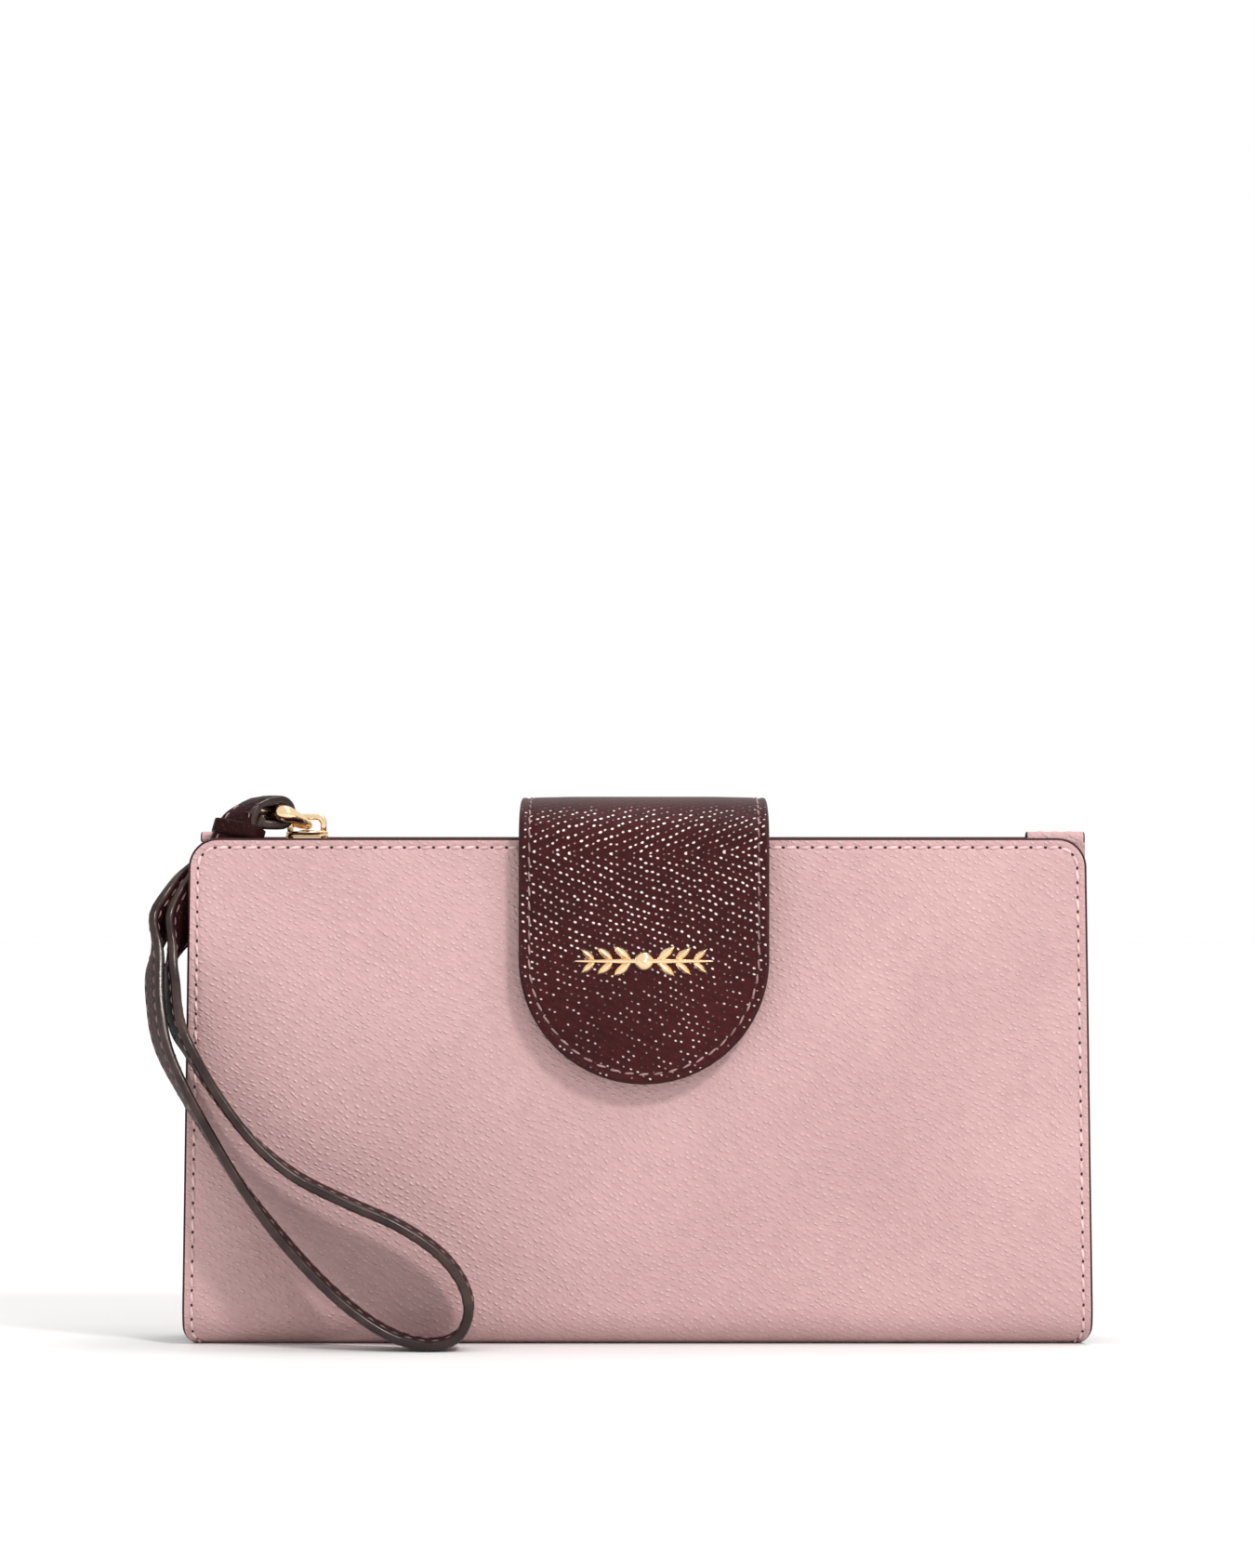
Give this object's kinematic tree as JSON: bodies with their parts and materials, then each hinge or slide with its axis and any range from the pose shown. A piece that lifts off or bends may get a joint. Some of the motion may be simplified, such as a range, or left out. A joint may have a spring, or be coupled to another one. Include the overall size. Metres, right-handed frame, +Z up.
{
  "type": "wristlet wallet",
  "caption": "Bifold leather wallet with a central zip pocket, card pockets, a snap flap over the top and a wrist strap on the zip's pull ring.",
  "frame": {"origin": "middle of the flat bottom that the closed wallet stands on", "axes": "+X to the right seen from the front, -Y out of the front cover, +Z up"},
  "size_m": [0.1794, 0.0425, 0.1036],
  "materials": {
    "pink_leather": "crossgrain, satin",
    "oxblood_leather": "crossgrain, semi-gloss",
    "lining_leather": "smooth, satin",
    "lining_cloth": "woven twill",
    "zip_tape": "woven tape",
    "board": "fibreboard",
    "gold_metal": "polished pale gold plating"
  },
  "bodies": {
    "back_half": {"outer_cover_back": "pink_leather", "outer_cover_bend": "pink_leather", "back_stiffener": "board", "back_lining": "lining_leather", "back_card_pocket_high": "lining_leather", "back_card_pocket_mid": "lining_leather", "back_card_pocket_low": "lining_leather", "spine_lining": "lining_leather", "zip_pocket_front_wall": "pink_leather", "zip_pocket_back_wall": "pink_leather", "zip_pocket_lining": "lining_cloth", "zip_pocket_gusset_left": "lining_leather", "zip_pocket_gusset_right": "lining_leather", "zip_tape_front": "zip_tape", "zip_tape_back": "zip_tape", "zip_teeth_front": "gold_metal", "zip_teeth_back": "gold_metal", "zip_stop_left": "gold_metal", "zip_stop_right": "gold_metal", "zip_end_tab_left": "pink_leather", "zip_end_tab_right": "pink_leather", "flap_base": "oxblood_leather"},
    "front_half": {"outer_cover_front": "pink_leather", "front_stiffener": "board", "front_lining": "lining_leather", "front_card_pocket_high": "lining_leather", "front_card_pocket_mid": "lining_leather", "front_card_pocket_low": "lining_leather", "snap_stud": "gold_metal", "snap_stud_washer": "gold_metal"},
    "flap_bridge": {"flap_bridge_leather": "oxblood_leather", "flap_bridge_lining": "lining_leather"},
    "flap_tongue": {"flap_tongue_leather": "oxblood_leather", "flap_tongue_lining": "lining_leather", "snap_socket": "gold_metal", "flap_ornament": "gold_metal"},
    "zip_slider": {"slider_body": "gold_metal"},
    "pull_ring": {"slider_bridge": "gold_metal", "pull_ring": "gold_metal"},
    "wrist_strap": {"strap_end_loop": "oxblood_leather", "strap_keeper": "oxblood_leather", "strap_band": "oxblood_leather"}
  },
  "joints": [
    {"name": "front_fold", "type": "hinge", "parent": "back_half", "child": "front_half", "pos_m": [0, -0.0112, 0.0015], "axis": [1, 0, 0], "range_deg": [0, 90], "deforming": ["outer_cover_bend"]},
    {"name": "flap_lift", "type": "hinge", "parent": "back_half", "child": "flap_bridge", "pos_m": [0, 0.015, 0.0962], "axis": [-1, 0, 0], "range_deg": [0, 100], "deforming": ["flap_bridge_leather", "flap_bridge_lining"]},
    {"name": "flap_unbend", "type": "hinge", "parent": "flap_bridge", "child": "flap_tongue", "pos_m": [0, -0.0174, 0.0962], "axis": [-1, 0, 0], "range_deg": [0, 80]},
    {"name": "zip_slide", "type": "slide", "parent": "back_half", "child": "zip_slider", "axis": [1, 0, 0], "range_m": [0, 0.126], "deforming": ["strap_band", "strap_keeper"]},
    {"name": "ring_turn", "type": "hinge", "parent": "zip_slider", "child": "pull_ring", "pos_m": [-0.063, 0, 0.0979], "axis": [0, 0, 1], "range_deg": [0, 180]},
    {"name": "strap_swing", "type": "hinge", "parent": "pull_ring", "child": "wrist_strap", "pos_m": [-0.06935, -0.00366, 0.10057], "axis": [-0.5, 0.866, 0], "range_deg": [0, 80]}
  ],
  "couplings": [
    {"joint": "flap_unbend", "follows": "flap_lift", "ratio": 0.8},
    {"joint": "ring_turn", "follows": "zip_slide", "rad_per_m": 24.93}
  ]
}
